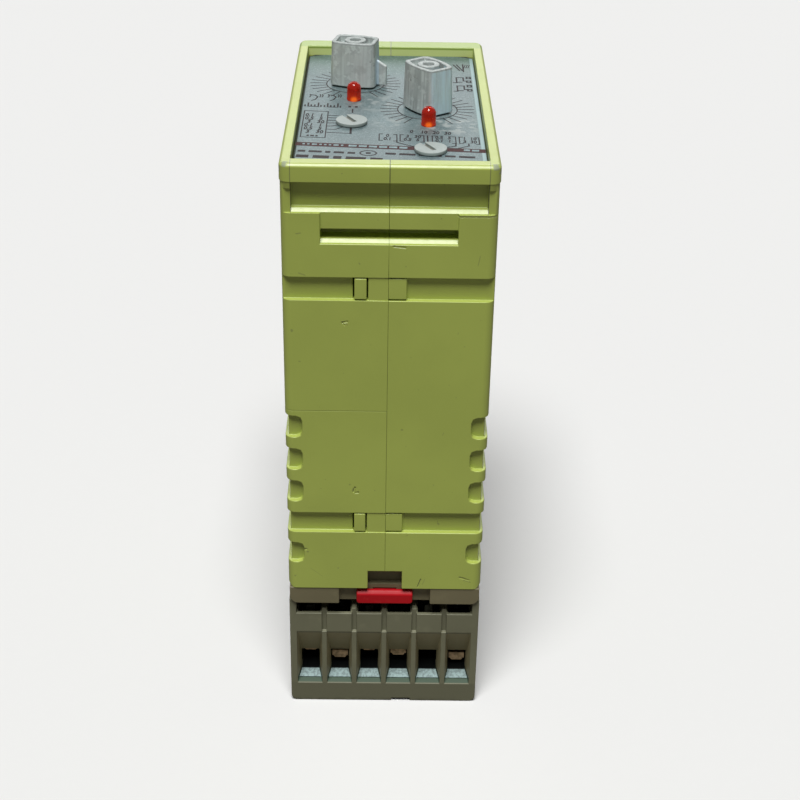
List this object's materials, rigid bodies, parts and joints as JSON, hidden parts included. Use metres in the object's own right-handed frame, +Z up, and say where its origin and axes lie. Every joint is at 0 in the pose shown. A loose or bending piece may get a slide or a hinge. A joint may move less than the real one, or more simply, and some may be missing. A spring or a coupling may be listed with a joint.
{
  "type": "timer relay on socket",
  "caption": "Tall narrow plug-in timer relay in a green snap-together housing with setting knobs, selectors and lamps on top, latched on a dark screw-terminal rail socket.",
  "frame": {"origin": "middle of the underside of the socket", "axes": "+X across the narrow face, to the right seen from the latch end; +Y from the latch end to the back; +Z up to the setting knobs"},
  "size_m": [0.0452, 0.0864, 0.1483],
  "materials": {
    "green_plastic": "satin moulded",
    "plate_print": "glossy printed",
    "knob_grey": "worn satin",
    "selector_white": "satin",
    "lamp_red": "clear tinted",
    "tin": "tinned",
    "black_plastic": "moulded",
    "shaft_metal": "turned",
    "board_laminate": "laminate",
    "relay_case": "moulded",
    "core_steel": "laminated",
    "coil_wrap": "taped",
    "capacitor_can": "sleeved can",
    "base_grey": "satin moulded",
    "latch_red": "moulded",
    "socket_grey": "satin moulded",
    "foot_grey": "satin moulded",
    "spring_steel": "spring strip",
    "clamp_brass": "stamped",
    "screw_steel": "plated"
  },
  "bodies": {
    "relay_on_socket": {"left_shell": "green_plastic", "right_shell": "green_plastic", "front_plate": "plate_print", "left_lamp": "lamp_red", "right_lamp": "lamp_red", "lamp_leads": "tin", "contact_blades": "tin", "terminal_strips": "tin", "left_switch_body": "black_plastic", "right_switch_body": "black_plastic", "timer_chip": "black_plastic", "board_link": "black_plastic", "left_control_body": "black_plastic", "right_control_body": "black_plastic", "front_board": "board_laminate", "main_board": "board_laminate", "output_relay": "relay_case", "transformer_core": "core_steel", "transformer_coil": "coil_wrap", "capacitor": "capacitor_can", "plug_base": "base_grey", "socket_body": "socket_grey", "rail_foot_spring": "spring_steel", "pressure_plates": "clamp_brass", "terminal_screws": "screw_steel"},
    "left_dial": {"left_knob": "knob_grey", "left_control_shaft": "shaft_metal"},
    "right_dial": {"right_knob": "knob_grey", "right_control_shaft": "shaft_metal"},
    "left_selector_disc": {"left_selector": "selector_white"},
    "right_selector_disc": {"right_selector": "selector_white"},
    "latch": {"locking_slide": "latch_red"},
    "foot": {"rail_foot": "foot_grey"}
  },
  "joints": [
    {"name": "left_knob_turn", "type": "hinge", "parent": "relay_on_socket", "child": "left_dial", "pos_m": [-0.0083, 0.0153, 0.138], "axis": [0, 0, 1], "range_deg": [-42, 248]},
    {"name": "right_knob_turn", "type": "hinge", "parent": "relay_on_socket", "child": "right_dial", "pos_m": [0.0083, -0.0024, 0.138], "axis": [0, 0, 1], "range_deg": [-181, 109]},
    {"name": "left_selector_turn", "type": "hinge", "parent": "relay_on_socket", "child": "left_selector_disc", "pos_m": [-0.0085, -0.012, 0.138], "axis": [0, 0, 1], "range_deg": [-150, 0]},
    {"name": "right_selector_turn", "type": "hinge", "parent": "relay_on_socket", "child": "right_selector_disc", "pos_m": [0.0085, -0.0288, 0.138], "axis": [0, 0, 1], "range_deg": [-100, 40]},
    {"name": "latch_slide", "type": "slide", "parent": "relay_on_socket", "child": "latch", "axis": [0, -1, 0], "range_m": [0, 0.0055]},
    {"name": "rail_foot_slide", "type": "slide", "parent": "relay_on_socket", "child": "foot", "axis": [0, -1, 0], "range_m": [0, 0.0035], "stiffness_N_per_m": 1500, "springref_m": -0.001, "deforming": ["rail_foot_spring"]}
  ]
}
